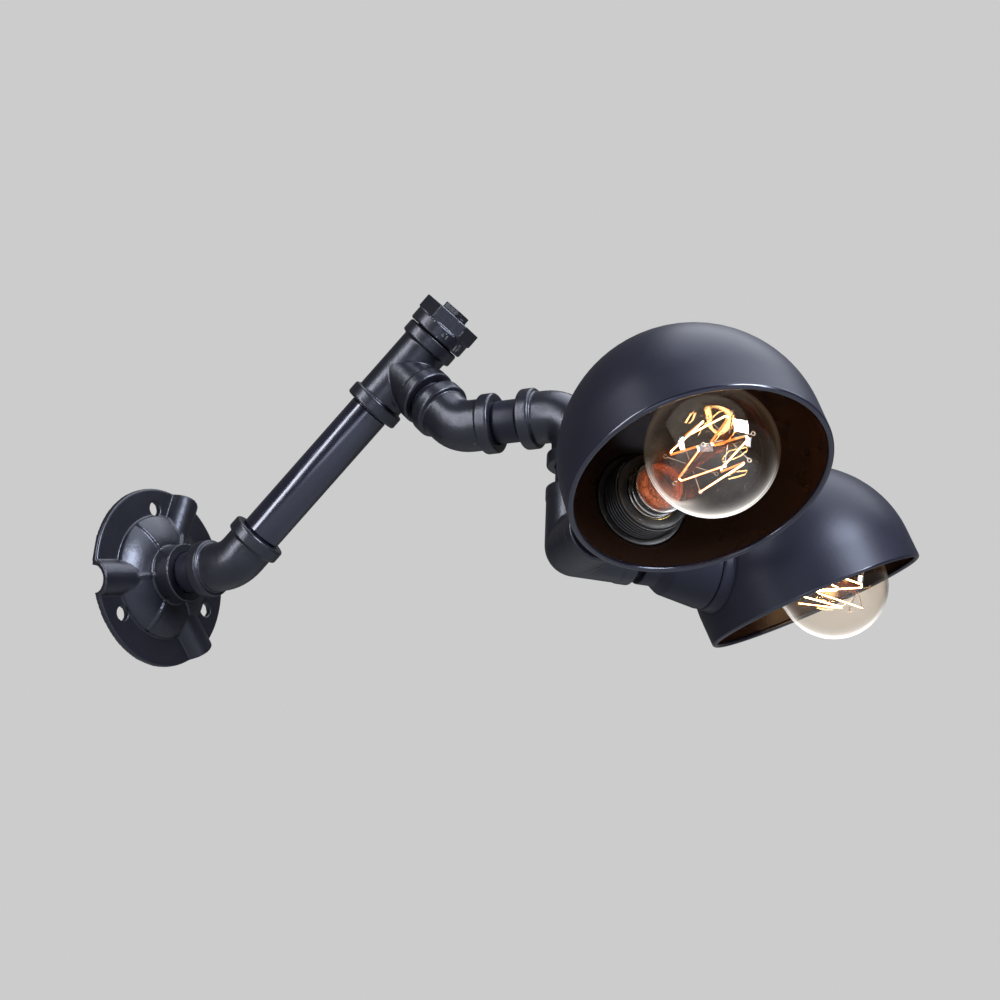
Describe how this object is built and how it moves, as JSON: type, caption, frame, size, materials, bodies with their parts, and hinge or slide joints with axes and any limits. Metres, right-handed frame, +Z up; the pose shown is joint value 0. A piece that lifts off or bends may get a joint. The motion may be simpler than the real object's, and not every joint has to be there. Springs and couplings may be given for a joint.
{
  "type": "industrial pipe wall light",
  "caption": "Wall light made of black threaded pipe and fittings on a round cast flange, with two bowl shades over clear filament bulbs.",
  "frame": {"origin": "centre of the wall flange's back face, on the wall plane", "axes": "+Z up, -Y out of the wall along the flange's bore, +X to the right of a viewer who faces the wall"},
  "size_m": [0.3174, 0.4454, 0.2047],
  "materials": {
    "cast_iron": "black semi-gloss coating on cast fittings, faint pebble texture",
    "black_pipe": "black gloss enamel on steel pipe",
    "black_enamel": "black semi-gloss enamel on spun sheet steel",
    "holder_body": "black moulded thermoset, satin",
    "contact_brass": "bright pressed brass",
    "bulb_glass": "clear amber-tinted blown glass",
    "bulb_cap": "rolled bright metal cap",
    "bulb_base": "dark vitreous insulator",
    "stem_glass": "clear drawn glass",
    "filament_wire": "dark drawn wire, glows in use",
    "cable_sheath": "round flexible cable sheath",
    "splice_cap": "closed-end splice cap"
  },
  "bodies": {
    "base": {"wall_flange": "cast_iron", "flange_nipple": "black_pipe", "base_cable": "cable_sheath"},
    "arm": {"lower_elbow": "cast_iron", "arm_pipe": "black_pipe", "arm_tee": "cast_iron", "tee_plug": "cast_iron", "branch_nipple": "black_pipe", "upper_elbow": "cast_iron", "outreach_nipple": "black_pipe", "drop_elbow": "cast_iron", "drop_nipple": "black_pipe", "arm_cable": "cable_sheath"},
    "cluster": {"corner_fitting": "cast_iron", "left_port_nipple": "black_pipe", "right_port_nipple": "black_pipe", "cluster_cable": "cable_sheath", "cable_splice": "splice_cap", "left_branch_cable": "cable_sheath", "right_branch_cable": "cable_sheath"},
    "left_head": {"left_bulb_base": "bulb_base", "left_bulb_cap": "bulb_cap", "left_bulb_contact": "bulb_cap", "left_bulb_glass": "bulb_glass", "left_bulb_stem": "stem_glass", "left_centre_contact": "contact_brass", "left_filament": "filament_wire", "left_filament_hooks": "filament_wire", "left_head_cable": "cable_sheath", "left_lamp_holder": "holder_body", "left_ring_nut": "black_enamel", "left_screw_shell": "contact_brass", "left_shade": "black_enamel", "left_socket_cup": "black_enamel"},
    "right_head": {"right_bulb_base": "bulb_base", "right_bulb_cap": "bulb_cap", "right_bulb_contact": "bulb_cap", "right_bulb_glass": "bulb_glass", "right_bulb_stem": "stem_glass", "right_centre_contact": "contact_brass", "right_filament": "filament_wire", "right_filament_hooks": "filament_wire", "right_head_cable": "cable_sheath", "right_lamp_holder": "holder_body", "right_ring_nut": "black_enamel", "right_screw_shell": "contact_brass", "right_shade": "black_enamel", "right_socket_cup": "black_enamel"}
  },
  "joints": [
    {"name": "arm_turn", "type": "hinge", "parent": "base", "child": "arm", "pos_m": [0, 0, 0], "axis": [0, -1, 0], "range_deg": [-30, 30]},
    {"name": "cluster_turn", "type": "hinge", "parent": "arm", "child": "cluster", "pos_m": [0.0208, -0.27602, 0.06395], "axis": [0.0684, 0.0141, -0.9976], "range_deg": [-60, 60]},
    {"name": "left_head_turn", "type": "hinge", "parent": "cluster", "child": "left_head", "pos_m": [0.02596, -0.27496, -0.01136], "axis": [-0.6113, -0.7896, -0.053], "range_deg": [-90, 90]},
    {"name": "right_head_turn", "type": "hinge", "parent": "cluster", "child": "right_head", "pos_m": [0.02596, -0.27496, -0.01136], "axis": [0.7884, -0.6135, 0.0454], "range_deg": [-90, 90]}
  ]
}
